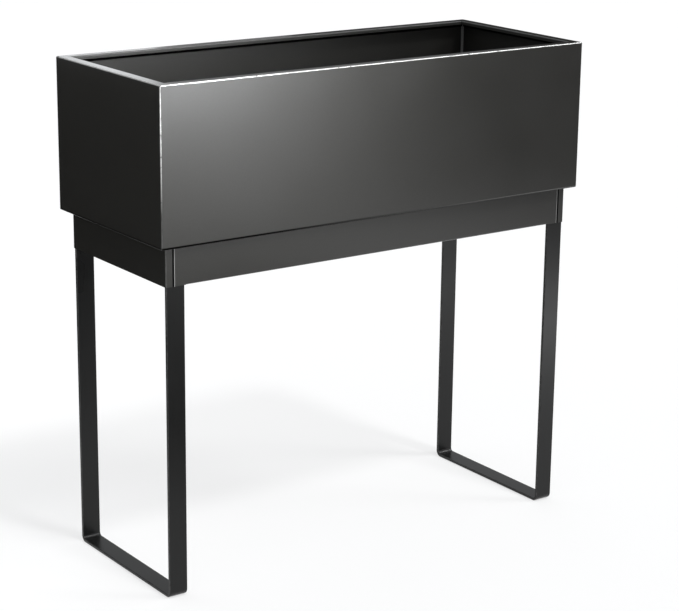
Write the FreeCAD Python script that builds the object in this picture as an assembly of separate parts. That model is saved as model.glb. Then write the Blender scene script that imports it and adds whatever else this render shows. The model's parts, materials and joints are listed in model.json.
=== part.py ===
# Raised planter box: a folded steel trough that rests on a steel stand with two U-shaped legs.
# Millimetres. Origin on the floor under the middle, +X along the length, +Z up, front face at -Y.
import FreeCAD, Part
import math
import os

V = FreeCAD.Vector
X, Y, Z = V(1, 0, 0), V(0, 1, 0), V(0, 0, 1)

# Overall sizes
length = 711.2
depth = 279.4
height = 711.2
box_height = 215.9

# Box sheet, rim and floor
box_sheet = 0.9
box_bend = 1.1
rim_width = 15.5
rim_lip = 5.5
base_flange = 30.0
tray_upstand = 12.0
tray_notch = 4.0
tray_clearance = 0.3
weld_leg = 3.0
drain_hole = 14.0
drain_pitch = 230.0

# Rubber drain plugs
plug_head = 20.0
plug_head_height = 3.0
plug_stem = 9.0
plug_clearance = 0.3
plug_grip = 8.0
plug_grip_height = 7.0

# Stand sheet, apron and seat
stand_inset = 12.7
apron_height = 54.0
stand_sheet = 1.2
stand_bend = 0.8
return_width = 12.0
seam = 1.0
seat_flange = 20.0
foot_flange = 12.0
flange_relief = 1.5

# Flat bar of the legs
bar_width = 28.0
bar_thickness = 4.5
bar_bend = 5.0
bar_edge = 0.8
post_gap = 3.0

# Studs, washers and nuts that hold the rails
stud = 6.0
stud_pitch = 28.0
stud_tail = 2.0
hole_clearance = 0.3
thread_clearance = 0.1
washer = 12.0
washer_thickness = 1.2
nut_flats = 10.0
nut_height = 5.0

# How far a cutting block runs past the sheet that it cuts
overshoot = 9.0

# Levels and half sizes worked out from them
seat_z = height - box_height
apron_z = seat_z - apron_height
box_corner = box_bend + box_sheet
stand_corner = stand_bend + stand_sheet
stand_x = length / 2 - stand_inset
stand_y = depth / 2 - stand_inset
bar_x = stand_x - stand_sheet
bar_y = stand_y - stand_sheet
bar_inner_x = bar_x - bar_width
rail_x = stand_x - return_width - seam
flange_x = bar_inner_x - flange_relief
stud_x = (rail_x + bar_inner_x) / 2
stud_length = bar_thickness + washer_thickness + nut_height + stud_tail
tray_z = seat_z + box_sheet
tray_top = tray_z + box_sheet


def corner_arc(before, corner, after, radius):
    """Start, middle and end of the arc that rounds one corner of a line."""
    back = (before - corner).normalize()
    ahead = (after - corner).normalize()
    half = back.getAngle(ahead) / 2
    middle_way = (back + ahead).normalize()
    reach = radius / math.tan(half)
    centre = corner + middle_way * (radius / math.sin(half))
    return corner + back * reach, centre - middle_way * radius, corner + ahead * reach


def rounded_line(points, radius):
    """Edges of a line through the points, with every corner rounded."""
    edges = []
    here = points[0]
    for before, corner, after in zip(points, points[1:], points[2:]):
        start, middle, end = corner_arc(before, corner, after, radius)
        edges.append(Part.LineSegment(here, start).toShape())
        edges.append(Part.Arc(start, middle, end).toShape())
        here = end
    edges.append(Part.LineSegment(here, points[-1]).toShape())
    return edges


def inner_points(points, sheet, normal):
    """The points moved in by the sheet's thickness, to the left of the line as seen along the normal."""
    ways = [(after - before).normalize() for before, after in zip(points, points[1:])]
    sides = [normal.cross(way) for way in ways]
    firsts = [sides[0]] + sides
    lasts = sides + [sides[-1]]
    return [p + (a + b) * (sheet / (1 + a.dot(b))) for p, a, b in zip(points, firsts, lasts)]


def folded_section(points, sheet, bend, normal):
    """Cross-section of a sheet or bar folded along the points, which lie on its outer face."""
    inside = inner_points(points, sheet, normal)
    edges = rounded_line(points, bend + sheet) + rounded_line(inside, bend)
    for start, end in ((points[0], inside[0]), (points[-1], inside[-1])):
        edges.append(Part.LineSegment(start, end).toShape())
    return Part.Face(Part.Wire(Part.sortEdges(edges)[0]))


def trough(half_width, top, bottom):
    """Corners of a U: down one side, across and up the other, as distances across and up."""
    return ((-half_width, top), (-half_width, bottom), (half_width, bottom), (half_width, top))


def block(half_x, front, back, low, high):
    """A plain block, centred along the length."""
    return Part.makeBox(2 * half_x, back - front, high - low, V(-half_x, front, low))


def folded_case(half_x, front, back):
    """A closed case of box sheet, as tall as the box, with every edge bent to the same radius."""
    outside = block(half_x, front, back, seat_z, height)
    inside = block(half_x - box_sheet, front + box_sheet, back - box_sheet, tray_z, height - box_sheet)
    outside = outside.makeFillet(box_corner, outside.Edges)
    inside = inside.makeFillet(box_bend, inside.Edges)
    return outside.cut(inside)


def rim_lip_ring():
    """The rim's inner bend and the lip that hangs from it, mitred at the four corners."""
    edge_y = rim_width - depth / 2
    points = [V(0, edge_y - 2 * box_corner, height), V(0, edge_y, height), V(0, edge_y, height - rim_lip)]
    section = folded_section(points, box_sheet, box_bend, -X)
    half_x = length / 2 - rim_width
    half_y = depth / 2 - rim_width
    corners = [V(half_x, -half_y, height), V(half_x, half_y, height)]
    corners += [V(-half_x, half_y, height), V(-half_x, -half_y, height)]
    ends = [V(0, -half_y, height)]
    path = Part.makePolygon(ends + corners + ends)
    return path.makePipeShell([section.OuterWire], True, False, 1)


def opening(edge, level):
    """A block that cuts one level of the case open, leaving a strip this wide along its edges."""
    half_y = depth / 2 - edge
    return block(length / 2 - edge, -half_y, half_y, level - overshoot, level + overshoot)


def box_walls(half_x, back):
    """Walls with the rim above and the base flange below, before they are cut at the rear corners."""
    case = folded_case(half_x, -depth / 2, back)
    mouth = opening(rim_width - 2 * box_corner, height)
    base = opening(base_flange, seat_z)
    return case.cut([mouth, base]).fuse(rim_lip_ring())


def back_wedge():
    """The space of the back wall, with its ends mitred through the rear corners."""
    low = seat_z - overshoot
    outline = []
    for reach in (2 * overshoot, -base_flange - overshoot):
        end_x = length / 2 + reach
        end_y = depth / 2 + reach
        ends = [V(end_x, end_y, low), V(-end_x, end_y, low)]
        outline += ends if reach > 0 else reversed(ends)
    face = Part.Face(Part.makePolygon(outline + outline[:1]))
    return face.extrude(Z * (box_height + 2 * overshoot))


def box_wrap():
    """The sheet that makes the front and both ends, bent round the front corners."""
    return box_walls(length / 2, depth / 2 + overshoot).cut(back_wedge())


def box_back():
    """The back sheet, with the welds that close the two rear corners from inside."""
    sheet = box_walls(length / 2 + overshoot, depth / 2).common(back_wedge())
    low = tray_z + tray_upstand + tray_clearance
    welds = []
    for side in (-1, 1):
        corner = V(side * (length / 2 - box_sheet), depth / 2 - box_sheet, low)
        points = [corner, corner - X * (side * weld_leg), corner - Y * weld_leg, corner]
        welds.append(Part.Face(Part.makePolygon(points)).extrude(Z * (height - box_corner - low)))
    return sheet.fuse(welds).removeSplitter()


def drain_places():
    """Name and X position of each drain."""
    return (("left", -drain_pitch), ("middle", 0.0), ("right", drain_pitch))


def box_floor():
    """Floor tray on the base flange: its edges are turned up inside the walls and its corners notched."""
    half_x = length / 2 - box_sheet - tray_clearance
    half_y = depth / 2 - box_sheet - tray_clearance
    rim = tray_z + tray_upstand
    start = V(tray_notch - half_x, tray_notch - half_y, 0)
    ends = [V(x, start.y, z) for x, z in trough(half_x, rim, tray_z)]
    sides = [V(start.x, y, z) for y, z in trough(half_y, rim, tray_z)]
    tray = folded_section(ends, box_sheet, box_bend, -Y).extrude(Y * (-2 * start.y))
    tray = tray.fuse(folded_section(sides, box_sheet, box_bend, X).extrude(X * (-2 * start.x)))
    holes = [Part.makeCylinder(drain_hole / 2, box_sheet, V(x, 0, tray_z)) for _, x in drain_places()]
    return tray.removeSplitter().cut(holes)


def drain_plug(x):
    """Rubber plug turned about the drain's axis: stem, flat head and a grip to pull it by."""
    stem_r = drain_hole / 2 - plug_clearance
    head_r = plug_head / 2
    grip_r = plug_grip / 2
    head_z = tray_top + plug_head_height
    grip_z = head_z + plug_grip_height
    tip_z = tray_top - plug_stem
    points = [V(0, 0, tip_z), V(stem_r, 0, tip_z), V(stem_r, 0, tray_top), V(head_r, 0, tray_top)]
    points += [V(head_r, 0, head_z), V(grip_r, 0, head_z), V(grip_r, 0, grip_z), V(0, 0, grip_z)]
    points.append(points[0])
    plug = Part.Face(Part.makePolygon(points)).revolve(V(0, 0, 0), Z, 360)
    return plug.translated(V(x, 0, 0))


def stud_places(side):
    """Foot of each stud on the inside of one rail; side is -1 at the front and 1 at the back."""
    middle = apron_z + apron_height / 2
    levels = (middle - stud_pitch / 2, middle + stud_pitch / 2)
    return [V(x, side * bar_y, z) for x in (-stud_x, stud_x) for z in levels]


def leg():
    """Left leg: one flat bar bent into a U, with its edges broken, drilled for the rail studs."""
    top = seat_z - stand_sheet - post_gap
    points = [V(-bar_x, y, z) for y, z in trough(bar_y, top, 0)]
    bar = folded_section(points, bar_thickness, bar_bend, X).extrude(X * bar_width)
    long_edges = []
    for edge in bar.Edges:
        box = edge.BoundBox
        if box.XLength < bar_edge and box.ZMin < top - bar_edge:
            long_edges.append(edge)
    bar = bar.makeChamfer(bar_edge, long_edges)
    holes = []
    for side in (-1, 1):
        for place in stud_places(side):
            if place.x < 0:
                start = place + Y * (side * bar_thickness)
                radius = stud / 2 + hole_clearance
                holes.append(Part.makeCylinder(radius, 3 * bar_thickness, start, Y * -side))
    return bar.cut(holes)


def end_panel():
    """Left end panel: it wraps the two uprights, and its top is turned in as a seat for the box."""
    bend_z = seat_z - stand_corner
    wrap = [V(return_width - stand_x, stand_y, apron_z), V(-stand_x, stand_y, apron_z)]
    wrap += [V(-stand_x, -stand_y, apron_z), V(return_width - stand_x, -stand_y, apron_z)]
    panel = folded_section(wrap, stand_sheet, stand_bend, Z).extrude(Z * (bend_z - apron_z))
    seat_y = stand_y - stand_corner
    seat = [V(seat_flange - stand_x, -seat_y, seat_z), V(-stand_x, -seat_y, seat_z)]
    seat.append(V(-stand_x, -seat_y, bend_z - stand_corner))
    flange = folded_section(seat, stand_sheet, stand_bend, -Y).extrude(Y * (2 * seat_y))
    return panel.fuse(flange).removeSplitter()


def rail():
    """Front rail: a channel between the legs, with flat ends that lie on the uprights."""
    points = [V(-flange_x, foot_flange - stand_y, apron_z), V(-flange_x, -stand_y, apron_z)]
    points += [V(-flange_x, -stand_y, seat_z), V(-flange_x, seat_flange - stand_y, seat_z)]
    channel = folded_section(points, stand_sheet, stand_bend, -X).extrude(X * (2 * flange_x))
    end_height = apron_height - stand_corner
    ends = [channel]
    for x in (-rail_x, flange_x):
        ends.append(Part.makeBox(rail_x - flange_x, stand_sheet, end_height, V(x, -stand_y, apron_z)))
    return ends[0].fuse(ends[1:]).removeSplitter()


def studs(side):
    """Studs welded to the inside of one rail."""
    return [Part.makeCylinder(stud / 2, stud_length, place, Y * -side) for place in stud_places(side)]


def washers(side):
    """Washers on the inside of the uprights."""
    rings = []
    for place in stud_places(side):
        start = place - Y * (side * bar_thickness)
        disc = Part.makeCylinder(washer / 2, washer_thickness, start, Y * -side)
        bore = Part.makeCylinder(stud / 2 + hole_clearance, washer_thickness, start, Y * -side)
        rings.append(disc.cut(bore))
    return rings


def nuts(side):
    """Hexagon nuts on the studs."""
    corner_r = nut_flats / 2 / math.cos(math.pi / 6)
    hexes = []
    for place in stud_places(side):
        start = place - Y * (side * (bar_thickness + washer_thickness))
        points = []
        for i in range(7):
            turn = i * math.pi / 3
            points.append(start + V(corner_r * math.cos(turn), 0, corner_r * math.sin(turn)))
        body = Part.Face(Part.makePolygon(points)).extrude(Y * (-side * nut_height))
        bore = Part.makeCylinder(stud / 2 + thread_clearance, nut_height, start, Y * -side)
        hexes.append(body.cut(bore))
    return hexes


def mirrored(shape):
    """The same piece for the other end."""
    return shape.mirror(V(0, 0, 0), X)


def pieces():
    """Every piece by its name."""
    left_leg = leg()
    left_panel = end_panel()
    front_rail = rail()
    named = {"box_wrap": box_wrap(), "box_back": box_back(), "box_floor": box_floor()}
    for name, x in drain_places():
        named["drain_plug_" + name] = drain_plug(x)
    named["leg_left"] = left_leg
    named["leg_right"] = mirrored(left_leg)
    named["end_panel_left"] = left_panel
    named["end_panel_right"] = mirrored(left_panel)
    named["rail_front"] = front_rail
    named["rail_back"] = front_rail.mirror(V(0, 0, 0), Y)
    for name, side in (("front", -1), ("back", 1)):
        named["rail_studs_" + name] = Part.makeCompound(studs(side))
        named["rail_washers_" + name] = Part.makeCompound(washers(side))
        named["rail_nuts_" + name] = Part.makeCompound(nuts(side))
    return named


os.makedirs("parts", exist_ok=True)
for name, shape in pieces().items():
    shape.exportStep("parts/" + name + ".step")
    print(name, len(shape.Solids), "solids", round(shape.Volume), "mm3", "valid", shape.isValid())
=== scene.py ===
import json
import math
import bmesh
import bpy
from mathutils import Matrix, Vector


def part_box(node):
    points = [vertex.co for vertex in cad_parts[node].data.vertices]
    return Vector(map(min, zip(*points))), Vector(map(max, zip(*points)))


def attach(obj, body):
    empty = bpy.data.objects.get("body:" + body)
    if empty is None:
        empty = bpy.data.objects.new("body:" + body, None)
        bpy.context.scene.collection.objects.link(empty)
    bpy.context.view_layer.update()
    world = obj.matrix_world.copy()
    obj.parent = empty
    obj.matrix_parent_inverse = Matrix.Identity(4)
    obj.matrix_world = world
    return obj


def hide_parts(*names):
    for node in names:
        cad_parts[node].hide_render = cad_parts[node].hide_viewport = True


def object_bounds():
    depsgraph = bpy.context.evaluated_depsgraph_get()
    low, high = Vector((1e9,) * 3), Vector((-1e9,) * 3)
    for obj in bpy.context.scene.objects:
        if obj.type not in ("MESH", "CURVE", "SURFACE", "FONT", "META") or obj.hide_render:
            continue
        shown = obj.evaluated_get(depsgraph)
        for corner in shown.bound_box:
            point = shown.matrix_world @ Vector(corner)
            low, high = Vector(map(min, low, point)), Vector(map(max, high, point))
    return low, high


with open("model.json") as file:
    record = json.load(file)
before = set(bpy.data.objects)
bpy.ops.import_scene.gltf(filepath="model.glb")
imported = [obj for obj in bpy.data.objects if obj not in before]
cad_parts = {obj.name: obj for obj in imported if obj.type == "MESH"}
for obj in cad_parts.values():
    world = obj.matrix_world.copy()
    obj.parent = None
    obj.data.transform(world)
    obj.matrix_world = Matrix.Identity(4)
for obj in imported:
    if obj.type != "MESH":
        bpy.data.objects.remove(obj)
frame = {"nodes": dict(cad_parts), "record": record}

cad_low, cad_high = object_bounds()
scene = bpy.context.scene

# Camera of the photograph, in degrees, metres and pixels
PHOTO_WIDTH = 679
FOCAL_PIXELS = 2037.34
SENSOR = 36.0
AZIMUTH = -35.42
ELEVATION = 15.90
ROLL = 0.67
AIM = Vector((0.0259, 0.0, 0.33015))
DISTANCE = 2.99563
FAR_CLIP = 200.0

# Studs behind the rails, in metres; the thread's root and flank are shares of half its pitch
STUD = 0.006
STUD_TIP = 0.0003
STUD_RINGS = 20
THREAD_PITCH = 0.001
THREAD_DEPTH = 0.00055
THREAD_STEPS = 8
THREAD_ROOT = 0.12
THREAD_FLANK = 0.72

# Washers and nuts, in metres; the roll is a share of the thickness, the shoulder a share of the flats
WASHER = 0.012
WASHER_HOLE = 0.0066
WASHER_ROLL = 0.3
WASHER_RINGS = 40
NUT_FLATS = 0.010
NUT_BORE = 0.0062
NUT_SHOULDER = 0.95
NUT_SINK = 0.0005
NUT_RINGS = 72
NUT_LEVELS = 24
FASTENER_SHARP = math.radians(32)

# Drain plugs, in metres
PLUG_STEM = 0.0134
PLUG_HEAD = 0.020
PLUG_GRIP = 0.008
PLUG_NECK = 0.00225
PLUG_HEAD_HEIGHT = 0.003
PLUG_GRIP_HEIGHT = 0.007
PLUG_RINGS = 56
PLUG_SHARP = math.radians(50)

# Outlines of a plug, as shares of a radius; the stem's heights are in metres, the others shares of a height
STEM_FOOT = ((0.62, 0.0), (0.76, 0.0003), (0.88, 0.0011))
STEM_LIP = ((0.97, -0.0014), (1.0, -0.0007), (0.985, -0.0002), (0.95, 0.0))
STEM_NECK = ((0.94, -0.0002), (0.98, 0.0))
HEAD_EDGE = ((0.93, 0.0), (0.985, 0.12), (1.0, 0.36), (0.99, 0.62), (0.95, 0.85), (0.87, 1.0))
HEAD_GROOVE = ((0.80, 1.0), (0.77, 0.9), (0.74, 0.9), (0.71, 1.0))
GRIP_WAIST = ((1.22, 0.0), (0.92, 0.06), (0.76, 0.18), (0.7, 0.4), (0.76, 0.58), (0.93, 0.7))
GRIP_KNOB = ((1.0, 0.8), (0.97, 0.9), (0.84, 0.97), (0.6, 1.0))

# Corner welds, in metres; the ripple's height and spread are shares of its size
WELD_STEP = 0.0016
WELD_RADIUS = 0.0013
WELD_INSET = 0.0009
WELD_TILT = math.radians(38)
WELD_SEED = 4
RIPPLE_FLAT = 0.72
RIPPLE_SPREAD = (0.92, 1.06)
RIPPLE_SEGMENTS = 14
RIPPLE_RINGS = 8

# Sheet and bends of the box, and the seam of the stand, in metres
SHEET = 0.0009
BOX_BEND = 0.0026
SEAM = 0.001

# Marks on the box, in metres: the painted highlight down the upright bends ends and is full this far under
# the rim
PAINTED_HIGHLIGHT_END = 0.17
PAINTED_HIGHLIGHT_FULL = 0.07
PAINTED_HIGHLIGHT_RUB = 0.2
# Skin of the sheet that counts as outside, as a share of its thickness
OUTER_SKIN = 0.6
# Shade under the rim's lip, along the base bend and by the welds
LIP_SHADE = 0.0121
LIP_FADE = 0.0012
BASE_FADE = 0.0011
END_SHADE = 0.5
WELD_REACH = 0.0055
WELD_SHADE = 0.5
# Base bend: where along the box its painted shade thins out and its painted highlight comes in, on the upper
# part of the bend
SHADE_THINS = (-0.2, 0.12)
BASE_HIGHLIGHT_COMES = (0.1, 0.34)
BASE_PAINTED_HIGHLIGHT = 0.11
UPPER_BEND = 0.45
# Ground mitres of the rim
MITRE_LINE = (0.0002, 0.0008)
MITRE_REACH = 0.03
RIM_SKIN = 0.002

# Marks on the stand's apron, in metres: painted highlight at the rails' ends, painted shade beside the seam
APRON_SKIN = 0.0006
EDGE_HIGHLIGHT_LINE = (0.0006, 0.0012)
EDGE_HIGHLIGHT_SHARE = 0.45
SEAM_SHADE = (0.0014, 0.0022)

# Coat: colours of its marks (steel for the painted highlights), depth of its bump in metres, and shares of
# each mark
PAINTED_HIGHLIGHT_STEEL = (0.5, 0.5, 0.49, 1)
DEEP_SHADE = (0.002, 0.002, 0.002, 1)
COAT_BUMP = 0.000011
RUB_AND_HIGHLIGHT_SHARE = 0.8
RUB_POLISH = 0.08
PAINTED_HIGHLIGHT_METAL = 0.9
GROOVE_SHADE = 0.6
GROOVE_DEPTH = 6.0
INSIDE_DULLER = 0.12

# Zinc and rubber: colours, lowest and highest roughness, and depth of the bump in metres
ZINC_DARK = (0.42, 0.43, 0.45, 1)
ZINC_LIGHT = (0.62, 0.62, 0.63, 1)
ZINC_RUBBED = (0.78, 0.78, 0.78, 1)
ZINC_ROUGH = (0.26, 0.44)
ZINC_BUMP = 0.000008
RUBBER_DARK = (0.014, 0.014, 0.014, 1)
RUBBER_LIGHT = (0.024, 0.024, 0.024, 1)
RUBBER_RUBBED = (0.05, 0.05, 0.05, 1)
RUBBER_ROUGH = (0.62, 0.78)
RUBBER_BUMP = 0.00003

# Floor: colours of the paper, how far it is lifted to white where it is seen, and half its size in metres
PAPER_DARK = (0.93, 0.93, 0.93, 1)
PAPER_LIGHT = (0.95, 0.95, 0.95, 1)
PAPER_WHITE = 0.6
FLOOR_HALF = 60.0

# Room: cool tint of its light, strength at eye level and overhead, and the rise at which it is overhead
COOL = (0.965, 0.982, 1.0)
ROOM_LEVEL = 0.36
ROOM_OVERHEAD = 0.87
ROOM_RISE = 0.8

# Far lamps: name, place, strength and angle across in degrees
SUNS = (
    ("key_light", (0.25, -1.61, 2.52), 0.85, 8),
    ("fill_light", (2.3, -1.65, 2.8), 0.55, 14),
)

# Soft panels: name, place, aim, width, height, brightness and spread in degrees
PANELS = (
    ("front_panel", (0.1, -1.0, 0.74), (-0.25, -0.14, 0.73), 0.35, 0.35, 29.5, 75),
    ("low_panel", (0.78, -0.8, 0.06), (0.33, 0, 0.2), 0.4, 0.12, 6.5, 70),
    ("inside_panel", (0.05, -0.75, 1.12), (-0.38, 0.14, 0.68), 0.3, 0.1, 175, 60),
    ("corner_panel", (-0.8, -0.77, 0.52), (-0.355, -0.14, 0.68), 0.6, 0.12, 10, 50),
    ("edge_panel", (1.1, -0.5, 1.65), (0.36, -0.14, 0.711), 0.5, 0.5, 5, 50),
    ("rim_panel", (-0.14, 0.45, 0.86), (-0.355, 0, 0.711), 0.22, 0.2, 3.2, 60),
)

# Black cards that only the gloss shows: name, middle, half length and half height
CARD_BLACK = (0.005, 0.005, 0.005, 1)
CARDS = (
    ("dark_card_left", (-0.69, 0.47, 0.34), (0.39, 0.28, 0), 0.34),
    ("dark_card_front", (1.06, -1.02, 0.40), (0.33, 0.235, 0), 0.24),
    ("dark_card_low", (-0.04, -0.5, 0.18), (0.16, 0, 0), 0.18),
    ("dark_card_back", (0.36, 0.26, 0.75), (0.25, 0, 0), 0.04),
    ("dark_card_right", (0.43, 0.10, 0.76), (0, 0.2, 0), 0.05),
)


# Node helpers

def node(tree, kind, inputs=None, **settings):
    """Adds a node; an input is a plain value or the output socket that feeds it."""
    made = tree.nodes.new(kind)
    for name, value in settings.items():
        setattr(made, name, value)
    for key, value in (inputs or {}).items():
        if isinstance(value, bpy.types.NodeSocket):
            tree.links.new(value, made.inputs[key])
        else:
            made.inputs[key].default_value = value
    return made


def calc(tree, operation, first, second=0.0):
    """Output of a Math node."""
    return node(tree, "ShaderNodeMath", {0: first, 1: second}, operation=operation).outputs[0]


def times(tree, first, *others):
    """Product of masks and shares."""
    for other in others:
        first = calc(tree, "MULTIPLY", first, other)
    return first


def above(tree, value, limit):
    """Mask of where a value is over a limit."""
    return calc(tree, "GREATER_THAN", value, limit)


def below(tree, value, limit):
    """Mask of where a value is under a limit."""
    return calc(tree, "LESS_THAN", value, limit)


def blend_colour(tree, share, first, second):
    """Output of a colour mix: the first colour at share 0, the second at share 1."""
    mix = node(tree, "ShaderNodeMix", {0: share, 6: first, 7: second}, data_type="RGBA")
    return mix.outputs[2]


def ramp_value(tree, value, low, high, to_low=0.0, to_high=1.0):
    """Output of a clamped linear map from low..high to to_low..to_high."""
    limits = {0: value, 1: low, 2: high, 3: to_low, 4: to_high}
    return node(tree, "ShaderNodeMapRange", limits, clamp=True).outputs[0]


def noise(tree, place, scale, detail=2.0, roughness=0.5):
    """Output of a noise texture at a place."""
    inputs = {"Vector": place, "Scale": scale, "Detail": detail, "Roughness": roughness}
    return node(tree, "ShaderNodeTexNoise", inputs).outputs[0]


def axes(tree, vector):
    """X, Y and Z outputs of a vector."""
    return node(tree, "ShaderNodeSeparateXYZ", {0: vector}).outputs


def object_place(tree):
    """Place on the surface, in the object's own coordinates."""
    return node(tree, "ShaderNodeTexCoord").outputs["Object"]


def new_group(name, inputs, outputs):
    """Shader group with named sockets; returns the tree, its input node's outputs and its output node."""
    tree = bpy.data.node_groups.new(name, "ShaderNodeTree")
    for label, kind, value in inputs:
        socket = tree.interface.new_socket(label, in_out="INPUT", socket_type=kind)
        if value is not None:
            socket.default_value = value
    for label, kind in outputs:
        tree.interface.new_socket(label, in_out="OUTPUT", socket_type=kind)
    return tree, tree.nodes.new("NodeGroupInput").outputs, tree.nodes.new("NodeGroupOutput")


def new_material(name):
    """Empty node material; returns it, its tree and its Principled shader."""
    made = bpy.data.materials.new(name)
    made.use_nodes = True
    tree = made.node_tree
    tree.nodes.clear()
    shader = tree.nodes.new("ShaderNodeBsdfPrincipled")
    output = tree.nodes.new("ShaderNodeOutputMaterial")
    tree.links.new(shader.outputs[0], output.inputs[0])
    return made, tree, shader


def effect(tree, group, place, values=None):
    """Outputs of a shared effect at a place, with its own values."""
    return node(tree, "ShaderNodeGroup", {"Place": place, **(values or {})}, node_tree=group).outputs


def dress(tree, shader, colour, rough, height, depth, strength=1.0):
    """Feeds a finish's colour, roughness and bump to its shader."""
    bump = node(tree, "ShaderNodeBump", {"Strength": strength, "Distance": depth, "Height": height})
    tree.links.new(colour, shader.inputs["Base Color"])
    tree.links.new(rough, shader.inputs["Roughness"])
    tree.links.new(bump.outputs[0], shader.inputs["Normal"])


# Effects that several finishes share

def powder_texture():
    """Fine sand of the powder, the wavy skin that it melts into, and slow clouds across a panel."""
    tree, given, put = new_group(
        "powder_texture",
        [("Place", "NodeSocketVector", None), ("Sand Scale", "NodeSocketFloat", 1500.0),
         ("Skin Scale", "NodeSocketFloat", 380.0), ("Cloud Scale", "NodeSocketFloat", 7.0),
         ("Sand Share", "NodeSocketFloat", 0.5)],
        [("Height", "NodeSocketFloat"), ("Fleck", "NodeSocketFloat"), ("Cloud", "NodeSocketFloat")],
    )
    sand = noise(tree, given["Place"], given["Sand Scale"], detail=2.0, roughness=0.6)
    skin = noise(tree, given["Place"], given["Skin Scale"], detail=1.0, roughness=0.4)
    cloud = noise(tree, given["Place"], given["Cloud Scale"], detail=3.0, roughness=0.55)
    height = node(tree, "ShaderNodeMix", {0: given["Sand Share"], 2: skin, 3: sand}).outputs[0]
    tree.links.new(height, put.inputs["Height"])
    tree.links.new(ramp_value(tree, sand, 0.36, 0.66), put.inputs["Fleck"])
    tree.links.new(ramp_value(tree, cloud, 0.32, 0.68), put.inputs["Cloud"])
    return tree


def edge_rub():
    """Mask of bends and broken edges, broken up along its length: wear, on the coat partly a painted
    highlight.
    """
    tree, given, put = new_group(
        "edge_rub",
        [("Place", "NodeSocketVector", None), ("Breakup Scale", "NodeSocketFloat", 160.0),
         ("Reach", "NodeSocketFloat", 0.25)],
        [("Mask", "NodeSocketFloat")],
    )
    normal = node(tree, "ShaderNodeNewGeometry").outputs["Normal"]
    turned = node(tree, "ShaderNodeVectorMath", {0: normal}, operation="ABSOLUTE").outputs[0]
    along, across, up = axes(tree, turned)
    square = calc(tree, "MAXIMUM", calc(tree, "MAXIMUM", along, across), up)
    bend = ramp_value(tree, calc(tree, "SUBTRACT", 1.0, square), 0.01, given["Reach"])
    patches = noise(tree, given["Place"], given["Breakup Scale"], detail=3.0, roughness=0.6)
    broken = ramp_value(tree, patches, 0.3, 0.62)
    tree.links.new(times(tree, bend, broken), put.inputs["Mask"])
    return tree


POWDER = powder_texture()
RUB = edge_rub()


# Finishes

def coat(name, dark, light, rubbed, gloss, sheen, marks=None):
    """Near-black powder coat; gloss is its lowest and highest roughness, sheen its specular level, and marks
    a function that finds its painted highlights, painted shade, grooves and dull places."""
    made, tree, shader = new_material(name)
    place = object_place(tree)
    powder = effect(tree, POWDER, place)
    rub = effect(tree, RUB, place)["Mask"]
    colour = blend_colour(tree, powder["Fleck"], dark, light)
    # Paler bends: partly edge wear, partly a painted highlight
    colour = blend_colour(tree, times(tree, rub, RUB_AND_HIGHLIGHT_SHARE), colour, rubbed)
    rough = ramp_value(tree, powder["Cloud"], 0.0, 1.0, *gloss)
    rough = calc(tree, "SUBTRACT", rough, times(tree, rub, RUB_POLISH))
    height = powder["Height"]
    if marks:
        painted_highlight, shade, groove, dull = marks(tree, place, rub)
        # Painted highlight in a steel colour, and painted shade in a black that the metallic setting keeps
        # from any gloss
        colour = blend_colour(tree, painted_highlight, colour, PAINTED_HIGHLIGHT_STEEL)
        deep = calc(tree, "MAXIMUM", shade, times(tree, groove, GROOVE_SHADE))
        colour = blend_colour(tree, deep, colour, DEEP_SHADE)
        metal = calc(tree, "MAXIMUM", times(tree, painted_highlight, PAINTED_HIGHLIGHT_METAL), shade)
        tree.links.new(metal, shader.inputs["Metallic"])
        rough = calc(tree, "ADD", rough, times(tree, dull, INSIDE_DULLER))
        height = calc(tree, "SUBTRACT", height, times(tree, groove, GROOVE_DEPTH))
    dress(tree, shader, colour, rough, height, COAT_BUMP)
    shader.inputs["Specular IOR Level"].default_value = sheen
    return made


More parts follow.
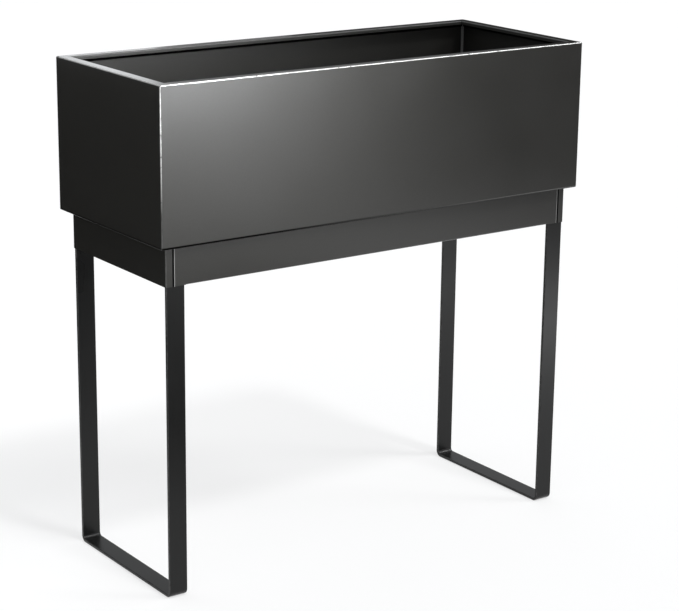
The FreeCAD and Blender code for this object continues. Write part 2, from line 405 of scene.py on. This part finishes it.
def box_marks(tree, place, rub):
    """Box: painted highlights down the bends towards the rim and along the right of the base, painted shade
    under the lip, along the base and by the welds, ground mitres, and a dull inside."""
    top, base = cad_high.z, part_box("box_wrap")[0].z
    along, across, level = axes(tree, place)
    from_end = calc(tree, "SUBTRACT", cad_high.x, calc(tree, "ABSOLUTE", along))
    from_side = calc(tree, "SUBTRACT", cad_high.y, calc(tree, "ABSOLUTE", across))
    depth = calc(tree, "MINIMUM", from_end, from_side)
    outer = SHEET * OUTER_SKIN
    inside = times(tree, above(tree, depth, outer), below(tree, level, top - outer))

    # Painted highlight down the bends near the rim
    upright = times(tree, ramp_value(tree, rub, 0.0, PAINTED_HIGHLIGHT_RUB), below(tree, depth, BOX_BEND),
                    ramp_value(tree, level, top - PAINTED_HIGHLIGHT_END, top - PAINTED_HIGHLIGHT_FULL))
    lip = ramp_value(tree, level, top - LIP_SHADE, top - LIP_SHADE + LIP_FADE)
    under_lip = times(tree, lip, inside, below(tree, depth, SHEET * 2))

    bend_top = base + BOX_BEND
    long_side = below(tree, from_side, calc(tree, "MINIMUM", from_end, BOX_BEND))
    short_side = times(tree, below(tree, from_end, BOX_BEND), END_SHADE)
    upper = times(tree, long_side, above(tree, level, base + BOX_BEND * UPPER_BEND))
    thinned = calc(tree, "SUBTRACT", 1.0, times(tree, upper, ramp_value(tree, along, *SHADE_THINS)))
    base_shade = times(tree, ramp_value(tree, level, bend_top + BASE_FADE, bend_top),
                       calc(tree, "MAXIMUM", long_side, short_side), thinned)
    # Painted highlight on the upper base bend, coming in towards the right end
    base_painted_highlight = times(tree, below(tree, level, bend_top), upper,
                     ramp_value(tree, along, *BASE_HIGHLIGHT_COMES, 0.0, BASE_PAINTED_HIGHLIGHT))

    by_weld = below(tree, calc(tree, "MAXIMUM", from_end, from_side), WELD_REACH)
    weld_shade = times(tree, by_weld, inside, WELD_SHADE)
    off_mitre = calc(tree, "ABSOLUTE", calc(tree, "SUBTRACT", from_end, from_side))
    mitre = times(tree, ramp_value(tree, off_mitre, *MITRE_LINE, 1.0, 0.0),
                  below(tree, from_end, MITRE_REACH), above(tree, level, top - RIM_SKIN))

    painted_highlight = calc(tree, "MAXIMUM", upright, base_painted_highlight)
    shade = calc(tree, "MAXIMUM", weld_shade, calc(tree, "MAXIMUM", under_lip, base_shade))
    return painted_highlight, shade, mitre, inside


def seam_marks(tree, place, rub):
    """Apron: painted highlight at each cut end of the rails, painted shade on the return beside the seam."""
    rail_low, rail_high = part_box("rail_front")
    along, across = axes(tree, place)[:2]
    past_rail = calc(tree, "SUBTRACT", calc(tree, "ABSOLUTE", along), rail_high.x)
    outside = above(tree, calc(tree, "ABSOLUTE", across), -rail_low.y - APRON_SKIN)
    # Painted highlight along the cut ends of the rails
    painted_edge_highlight = ramp_value(tree, calc(tree, "ABSOLUTE", past_rail), *EDGE_HIGHLIGHT_LINE, EDGE_HIGHLIGHT_SHARE, 0.0)
    past_seam = calc(tree, "SUBTRACT", past_rail, SEAM)
    shade = times(tree, above(tree, past_rail, SEAM / 2),
                  ramp_value(tree, past_seam, *SEAM_SHADE, 1.0, 0.0), outside)
    return times(tree, outside, painted_edge_highlight), shade, 0.0, 0.0


def zinc(name):
    """Bright zinc plate with a faint spangle and turned scratches."""
    made, tree, shader = new_material(name)
    place = object_place(tree)
    rub = effect(tree, RUB, place, {"Breakup Scale": 700.0})["Mask"]
    spangle = node(tree, "ShaderNodeTexVoronoi", {"Vector": place, "Scale": 900.0}).outputs["Color"]
    grey = node(tree, "ShaderNodeSeparateColor", {0: spangle}).outputs[0]
    scratch = noise(tree, place, 4200.0, detail=2.0, roughness=0.6)
    colour = blend_colour(tree, grey, ZINC_DARK, ZINC_LIGHT)
    colour = blend_colour(tree, times(tree, rub, 0.5), colour, ZINC_RUBBED)
    rough = ramp_value(tree, scratch, 0.3, 0.7, *ZINC_ROUGH)
    dress(tree, shader, colour, rough, scratch, ZINC_BUMP, strength=0.6)
    shader.inputs["Metallic"].default_value = 1.0
    return made


def rubber(name):
    """Matt black moulded rubber with a fine mould grain and a paler rubbed edge."""
    made, tree, shader = new_material(name)
    place = object_place(tree)
    powder = effect(tree, POWDER, place, {"Sand Scale": 2600.0, "Skin Scale": 700.0, "Cloud Scale": 90.0})
    rub = effect(tree, RUB, place, {"Breakup Scale": 500.0})["Mask"]
    colour = blend_colour(tree, powder["Fleck"], RUBBER_DARK, RUBBER_LIGHT)
    colour = blend_colour(tree, times(tree, rub, 0.25), colour, RUBBER_RUBBED)
    rough = ramp_value(tree, powder["Cloud"], 0.0, 1.0, *RUBBER_ROUGH)
    dress(tree, shader, colour, rough, powder["Height"], RUBBER_BUMP)
    return made


FINISHES = {
    # Each coat's third colour is its rubbed bends: partly edge wear, partly a painted highlight
    "box_coating": coat("box_coating", (0.0148, 0.0143, 0.0128, 1), (0.0199, 0.0192, 0.0173, 1),
                        (0.09, 0.09, 0.088, 1), gloss=(0.30, 0.36), sheen=0.5, marks=box_marks),
    "apron_coating": coat("apron_coating", (0.0138, 0.0133, 0.0119, 1), (0.0189, 0.0182, 0.0164, 1),
                          (0.09, 0.09, 0.088, 1), gloss=(0.31, 0.37), sheen=0.5, marks=seam_marks),
    "leg_coating": coat("leg_coating", (0.0075, 0.0075, 0.0074, 1), (0.0105, 0.0105, 0.0103, 1),
                        (0.07, 0.07, 0.069, 1), gloss=(0.27, 0.33), sheen=0.25),
    "fastener_zinc": zinc("fastener_zinc"),
    "plug_rubber": rubber("plug_rubber"),
}
for subpart in frame["record"]["subparts"]:
    solid = frame["nodes"][subpart["node"]].data
    solid.materials.clear()
    solid.materials.append(FINISHES[subpart["material_slot"]])


# Mesh helpers

def mesh_object(name, work, smooth=False):
    """Object at the origin from a bmesh."""
    bmesh.ops.recalc_face_normals(work, faces=work.faces)
    data = bpy.data.meshes.new(name)
    work.to_mesh(data)
    work.free()
    for face in data.polygons:
        face.use_smooth = smooth
    made = bpy.data.objects.new(name, data)
    scene.collection.objects.link(made)
    return made


def ring_rows(work, places, rings, radius_at):
    """Rows of vertices round +Z; radius_at gives radius and height for a place in the outline and a turn."""
    rows = []
    for place in places:
        row = []
        for i in range(rings):
            turn = 2 * math.pi * i / rings
            radius, height = radius_at(place, turn)
            row.append(work.verts.new((radius * math.cos(turn), radius * math.sin(turn), height)))
        rows.append(row)
    return rows


def turned_rows(work, outline, rings):
    """Rows of vertices of a round body from (radius, height) points."""
    return ring_rows(work, outline, rings, lambda point, turn: point)


def skin(work, rows, rings):
    """Faces between neighbouring rows of vertices; a row of one vertex is a tip."""
    for low, high in zip(rows, rows[1:]):
        for i in range(rings):
            j = (i + 1) % rings
            corners = [low[i % len(low)], low[j % len(low)], high[j % len(high)], high[i % len(high)]]
            work.faces.new(list(dict.fromkeys(corners)))


def skin_to_axis(work, rows, low, high, rings):
    """Skins rows of vertices and closes them on the axis at both ends."""
    foot = work.verts.new((0, 0, low))
    tip = work.verts.new((0, 0, high))
    skin(work, [[foot]] + rows + [[tip]], rings)


def finish_piece(piece, body, slot, *stands_for):
    """Rides a piece on a body and hides the solids that it stands for; its slot is not used."""
    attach(piece, body)
    if stands_for:
        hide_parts(*stands_for)


# Trees that grow what repeats

def growth_tree(name, inputs):
    """Geometry tree with named inputs; returns it and its input node's outputs."""
    tree = bpy.data.node_groups.new(name, "GeometryNodeTree")
    tree.interface.new_socket("Geometry", in_out="OUTPUT", socket_type="NodeSocketGeometry")
    for label, kind in inputs:
        tree.interface.new_socket(label, in_out="INPUT", socket_type=kind)
    return tree, tree.nodes.new("NodeGroupInput").outputs


def end_tree(tree, given, copies):
    """Moves the copies to their middle, makes them real, gives them their finish and puts them out."""
    put = tree.nodes.new("NodeGroupOutput")
    moved = node(tree, "GeometryNodeTransform", {"Geometry": copies, "Translation": given["Middle"]})
    real = node(tree, "GeometryNodeRealizeInstances", {"Geometry": moved.outputs[0]})
    done = node(tree, "GeometryNodeSetMaterial", {"Geometry": real.outputs[0], "Material": given["Finish"]})
    tree.links.new(done.outputs[0], put.inputs[0])


def socket_id(tree, label):
    """Identifier of a node tree's named input."""
    return next(item.identifier for item in tree.interface.items_tree if item.name == label)


def grown(name, tree, values):
    """Plain mesh object that a node tree makes from its named inputs."""
    start = bpy.data.objects.new(name + "_start", bpy.data.meshes.new(name + "_start"))
    scene.collection.objects.link(start)
    growth = start.modifiers.new("growth", "NODES")
    growth.node_group = tree
    for label, value in values.items():
        growth[socket_id(tree, label)] = value
    ready = start.evaluated_get(bpy.context.evaluated_depsgraph_get())
    data = bpy.data.meshes.new_from_object(ready)
    data.name = name
    start.modifiers.remove(growth)
    bpy.data.objects.remove(start)
    made = bpy.data.objects.new(name, data)
    scene.collection.objects.link(made)
    data.set_sharp_from_angle(angle=FASTENER_SHARP)
    return made


# Fasteners behind the rails

def fastener_object(name, work):
    """Smooth object from a fastener built up +Z, turned to point along +Y."""
    bmesh.ops.rotate(work, verts=work.verts, matrix=Matrix.Rotation(-math.pi / 2, 3, "X"))
    return mesh_object(name, work, smooth=True)


def threaded_stud(length):
    """Stud with a rolled thread and a chamfered tip."""
    steps = round(length / THREAD_PITCH * THREAD_STEPS)
    crest = STUD / 2
    root = crest - THREAD_DEPTH

    def radius_at(step, turn):
        height = length * step / steps
        phase = (height / THREAD_PITCH - turn / (2 * math.pi)) % 1.0
        flank = min(1.0, max(0.0, (abs(2 * phase - 1) - THREAD_ROOT) / THREAD_FLANK))
        chamfer = root - STUD_TIP + (length - height)
        return min(root + (crest - root) * flank, chamfer), height

    work = bmesh.new()
    rows = ring_rows(work, range(steps + 1), STUD_RINGS, radius_at)
    skin_to_axis(work, rows, 0, length, STUD_RINGS)
    return fastener_object("stud_master", work)


def plain_washer(thickness):
    """Stamped washer with a rolled outer edge."""
    edge = thickness * WASHER_ROLL
    inner, outer = WASHER_HOLE / 2, WASHER / 2
    outline = [(inner, 0), (outer - edge, 0), (outer - edge * 0.3, edge * 0.3), (outer, edge),
               (outer, thickness - edge * 0.5), (outer - edge * 0.5, thickness),
               (inner + edge * 0.6, thickness), (inner, thickness - edge * 0.6)]
    work = bmesh.new()
    rows = turned_rows(work, outline, WASHER_RINGS)
    skin(work, rows + rows[:1], WASHER_RINGS)
    return fastener_object("washer_master", work)


def hex_nut(height):
    """Hexagon nut whose corners are turned off at 30 degrees on both ends, with a countersunk bore."""
    shoulder = NUT_FLATS / 2 * NUT_SHOULDER
    bore = NUT_BORE / 2

    def radius_at(place, turn):
        radius, level = place
        if radius:
            return radius, level
        flat = NUT_FLATS / 2 / math.cos((turn + math.pi / 6) % (math.pi / 3) - math.pi / 6)
        cone = shoulder + min(level, height - level) * math.tan(math.pi / 3)
        return min(flat, cone), level

    places = [(bore, NUT_SINK), (bore + NUT_SINK, 0)]
    places += [(0, height * i / NUT_LEVELS) for i in range(NUT_LEVELS + 1)]
    places += [(bore + NUT_SINK, height), (bore, height - NUT_SINK)]
    work = bmesh.new()
    rows = ring_rows(work, places, NUT_RINGS, radius_at)
    skin(work, rows + rows[:1], NUT_RINGS)
    return fastener_object("nut_master", work)


def fastener_places():
    """Tree that stands one fastener at each of the eight holes, turned inwards from both rails."""
    tree, given = growth_tree("fastener_places", (
        ("Fastener", "NodeSocketObject"), ("Spacing", "NodeSocketVector"),
        ("Middle", "NodeSocketVector"), ("Finish", "NodeSocketMaterial")))
    holes = node(tree, "GeometryNodeMeshCube", {"Size": given["Spacing"]}).outputs["Mesh"]
    body = node(tree, "GeometryNodeObjectInfo", {"Object": given["Fastener"]}).outputs["Geometry"]
    side = axes(tree, node(tree, "GeometryNodeInputPosition").outputs[0])["Y"]
    half_turn = times(tree, above(tree, side, 0.0), math.pi)
    turn = node(tree, "ShaderNodeCombineXYZ", {"Z": half_turn}).outputs[0]
    copies = node(tree, "GeometryNodeInstanceOnPoints", {"Points": holes, "Instance": body, "Rotation": turn})
    end_tree(tree, given, copies.outputs[0])
    return tree


def rail_fasteners():
    """Studs, washers and nuts, each kind one piece at its eight places."""
    tree = fastener_places()
    stud_low, stud_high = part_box("rail_studs_front")
    hole_x = stud_high.x - STUD / 2
    spacing_z = stud_high.z - stud_low.z - STUD
    middle = Vector((0, 0, (stud_low.z + stud_high.z) / 2))
    for name, make in (("studs", threaded_stud), ("washers", plain_washer), ("nuts", hex_nut)):
        front, back = "rail_%s_front" % name, "rail_%s_back" % name
        low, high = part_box(front)
        one = make(high.y - low.y)
        piece = grown("rail_" + name, tree, {
            "Fastener": one, "Spacing": (2 * hole_x, -2 * low.y, spacing_z), "Middle": middle,
            "Finish": FINISHES["fastener_zinc"]})
        bpy.data.objects.remove(one)
        finish_piece(piece, "stand", "fastener_zinc", front, back)


# Drain plugs and corner welds of the box

def drain_plug(side):
    """Moulded plug: lipped stem, head with a rolled edge and a waisted grip."""
    solid = "drain_plug_" + side
    low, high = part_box(solid)
    seat = high.z - PLUG_GRIP_HEIGHT - PLUG_HEAD_HEIGHT
    stretches = (
        (STEM_FOOT, PLUG_STEM, low.z, 1.0),
        (STEM_LIP, PLUG_STEM, seat - PLUG_NECK, 1.0),
        (STEM_NECK, PLUG_STEM, seat, 1.0),
        (HEAD_EDGE + HEAD_GROOVE, PLUG_HEAD, seat, PLUG_HEAD_HEIGHT),
        (GRIP_WAIST + GRIP_KNOB, PLUG_GRIP, seat + PLUG_HEAD_HEIGHT, PLUG_GRIP_HEIGHT),
    )
    outline = []
    for points, width, foot, tall in stretches:
        outline += [(width / 2 * share, foot + tall * rise) for share, rise in points]
    work = bmesh.new()
    skin_to_axis(work, turned_rows(work, outline, PLUG_RINGS), low.z, high.z, PLUG_RINGS)
    plug = mesh_object("drain_plug_%s_moulded" % side, work, smooth=True)
    plug.data.transform(Matrix.Translation(((low.x + high.x) / 2, 0, 0)))
    plug.data.set_sharp_from_angle(angle=PLUG_SHARP)
    plug.data.materials.append(FINISHES["plug_rubber"])
    finish_piece(plug, "plug_" + side, "plug_rubber", solid)


def weld_ripples():
    """Tree that stacks tilted weld ripples up two upright lines, with a little spread in their size."""
    tree, given = growth_tree("weld_ripples", (
        ("Apart", "NodeSocketFloat"), ("Tall", "NodeSocketFloat"), ("Ripples", "NodeSocketInt"),
        ("Middle", "NodeSocketVector"), ("Ripple Radius", "NodeSocketFloat"),
        ("Tilt", "NodeSocketFloat"), ("Seed", "NodeSocketInt"), ("Finish", "NodeSocketMaterial")))
    lines = node(tree, "GeometryNodeMeshGrid", {
        "Size X": given["Apart"], "Size Y": given["Tall"],
        "Vertices X": 2, "Vertices Y": given["Ripples"]}).outputs["Mesh"]
    upright = node(tree, "GeometryNodeTransform", {"Geometry": lines, "Rotation": (math.pi / 2, 0, 0)})
    ball = node(tree, "GeometryNodeMeshUVSphere", {
        "Segments": RIPPLE_SEGMENTS, "Rings": RIPPLE_RINGS, "Radius": given["Ripple Radius"]}).outputs["Mesh"]
    ripple = node(tree, "GeometryNodeTransform", {"Geometry": ball, "Scale": (1, 1, RIPPLE_FLAT)})
    smooth = node(tree, "GeometryNodeSetShadeSmooth", {"Geometry": ripple.outputs[0]})
    side = axes(tree, node(tree, "GeometryNodeInputPosition").outputs[0])["X"]
    facing = times(tree, calc(tree, "SIGN", side), -math.pi / 4)
    turn = node(tree, "ShaderNodeCombineXYZ", {"X": given["Tilt"], "Z": facing}).outputs[0]
    least, most = RIPPLE_SPREAD
    spread = node(tree, "FunctionNodeRandomValue", {2: least, 3: most, "Seed": given["Seed"]}).outputs[1]
    copies = node(tree, "GeometryNodeInstanceOnPoints", {
        "Points": upright.outputs[0], "Instance": smooth.outputs[0], "Rotation": turn, "Scale": spread})
    end_tree(tree, given, copies.outputs[0])
    return tree


def corner_welds():
    """Coated weld beads up the inside of the two rear corners."""
    tray_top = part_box("box_floor")[1].z
    low, high = tray_top + 2 * WELD_RADIUS, cad_high.z - 2 * WELD_RADIUS
    inset = SHEET + WELD_INSET
    piece = grown("corner_welds", weld_ripples(), {
        "Apart": 2 * (cad_high.x - inset), "Tall": high - low, "Ripples": round((high - low) / WELD_STEP),
        "Middle": (0, cad_high.y - inset, (low + high) / 2), "Ripple Radius": WELD_RADIUS,
        "Tilt": WELD_TILT, "Seed": WELD_SEED, "Finish": FINISHES["box_coating"]})
    finish_piece(piece, "planter_box", "box_coating")


# Studio

def floor_plane():
    """Plain pale floor, lifted towards white where the camera or the gloss sees it."""
    work = bmesh.new()
    bmesh.ops.create_grid(work, x_segments=1, y_segments=1, size=FLOOR_HALF)
    floor = mesh_object("studio_floor", work)
    made, tree, shader = new_material("floor_paper")
    tone = blend_colour(tree, noise(tree, object_place(tree), 3.0), PAPER_DARK, PAPER_LIGHT)
    tree.links.new(tone, shader.inputs["Base Color"])
    shader.inputs["Roughness"].default_value = 0.9
    shader.inputs["Specular IOR Level"].default_value = 0.0
    rays = node(tree, "ShaderNodeLightPath").outputs
    mirrored = calc(tree, "ADD", rays["Is Glossy Ray"], rays["Is Transmission Ray"])
    seen = calc(tree, "MINIMUM", calc(tree, "ADD", rays["Is Camera Ray"], mirrored), 1.0)
    white = node(tree, "ShaderNodeEmission", {"Strength": 1.0}).outputs[0]
    lifted = {0: times(tree, seen, PAPER_WHITE), 1: shader.outputs[0], 2: white}
    paper = node(tree, "ShaderNodeMixShader", lifted).outputs[0]
    tree.links.new(paper, tree.nodes["Material Output"].inputs[0])
    floor.data.materials.append(made)


def lamp(name, kind, place, aim, **settings):
    """Lamp at a place, pointed at aim."""
    data = bpy.data.lights.new(name, kind)
    for key, value in settings.items():
        setattr(data, key, value)
    made = bpy.data.objects.new(name, data)
    made.location = place
    made.rotation_euler = (Vector(aim) - Vector(place)).to_track_quat("-Z", "Y").to_euler()
    scene.collection.objects.link(made)
    return made


def soft_panel(name, place, aim, width, height, brightness, spread):
    """Rectangular soft light; brightness is what a mirror shows of it, spread the angle its grid lets out."""
    half = math.radians(spread) / 2
    let_out = math.sin(half) ** 2 - (half - math.sin(2 * half) / 2) / math.tan(half)
    energy = math.pi * brightness * width * height * let_out
    made = lamp(name, "AREA", place, aim, shape="RECTANGLE", size=width, size_y=height, energy=energy,
                spread=2 * half, color=COOL)
    made.visible_camera = False


def dark_card(name, middle, half_length, half_height):
    """Upright black card, which only the gloss of the coat shows."""
    along, up = Vector(half_length), Vector((0, 0, half_height))
    work = bmesh.new()
    corners = [Vector(middle) + x * along + z * up for x, z in ((-1, -1), (1, -1), (1, 1), (-1, 1))]
    work.faces.new([work.verts.new(corner) for corner in corners])
    card = mesh_object(name, work)
    made, tree, shader = new_material(name)
    shader.inputs["Base Color"].default_value = CARD_BLACK
    shader.inputs["Roughness"].default_value = 1.0
    shader.inputs["Specular IOR Level"].default_value = 0.0
    card.data.materials.append(made)
    card.visible_camera = card.visible_diffuse = card.visible_shadow = card.visible_transmission = False


def room_light():
    """Light of a pale room, which grows from the level of the eye to overhead."""
    world = bpy.data.worlds.new("room_light")
    world.use_nodes = True
    tree = world.node_tree
    rise = axes(tree, node(tree, "ShaderNodeTexCoord").outputs["Generated"])["Z"]
    strength = ramp_value(tree, rise, 0.0, ROOM_RISE, ROOM_LEVEL, ROOM_OVERHEAD)
    background = tree.nodes["Background"].inputs
    tree.links.new(strength, background["Strength"])
    background["Color"].default_value = (*COOL, 1)
    scene.world = world


def studio():
    """Room light, a soft key and fill, and the panels and dark cards that the satin coat shows."""
    room_light()
    for name, place, strength, across in SUNS:
        lamp(name, "SUN", place, (0, 0, 0), energy=strength, angle=math.radians(across))
    for panel in PANELS:
        soft_panel(*panel)
    for card in CARDS:
        dark_card(*card)


def photo_camera():
    """Camera at the photograph's viewing angle."""
    azimuth, elevation, roll = (math.radians(v) for v in (AZIMUTH, ELEVATION, ROLL))
    back = Vector((math.sin(azimuth) * math.cos(elevation), -math.cos(azimuth) * math.cos(elevation),
                   math.sin(elevation)))
    level = Vector((math.cos(azimuth), math.sin(azimuth), 0.0))
    upright = back.cross(level)
    right = math.cos(roll) * level + math.sin(roll) * upright
    up = math.cos(roll) * upright - math.sin(roll) * level
    data = bpy.data.cameras.new("photo_camera")
    data.sensor_width = SENSOR
    data.lens = FOCAL_PIXELS * SENSOR / PHOTO_WIDTH
    data.clip_end = FAR_CLIP
    made = bpy.data.objects.new("photo_camera", data)
    scene.collection.objects.link(made)
    turn = Matrix((right, up, back)).transposed().to_4x4()
    made.matrix_world = Matrix.Translation(AIM + back * DISTANCE) @ turn
    scene.camera = made


# Making
rail_fasteners()
for side in ("left", "middle", "right"):
    drain_plug(side)
corner_welds()
floor_plane()
studio()
photo_camera()
scene.view_settings.view_transform = "Standard"
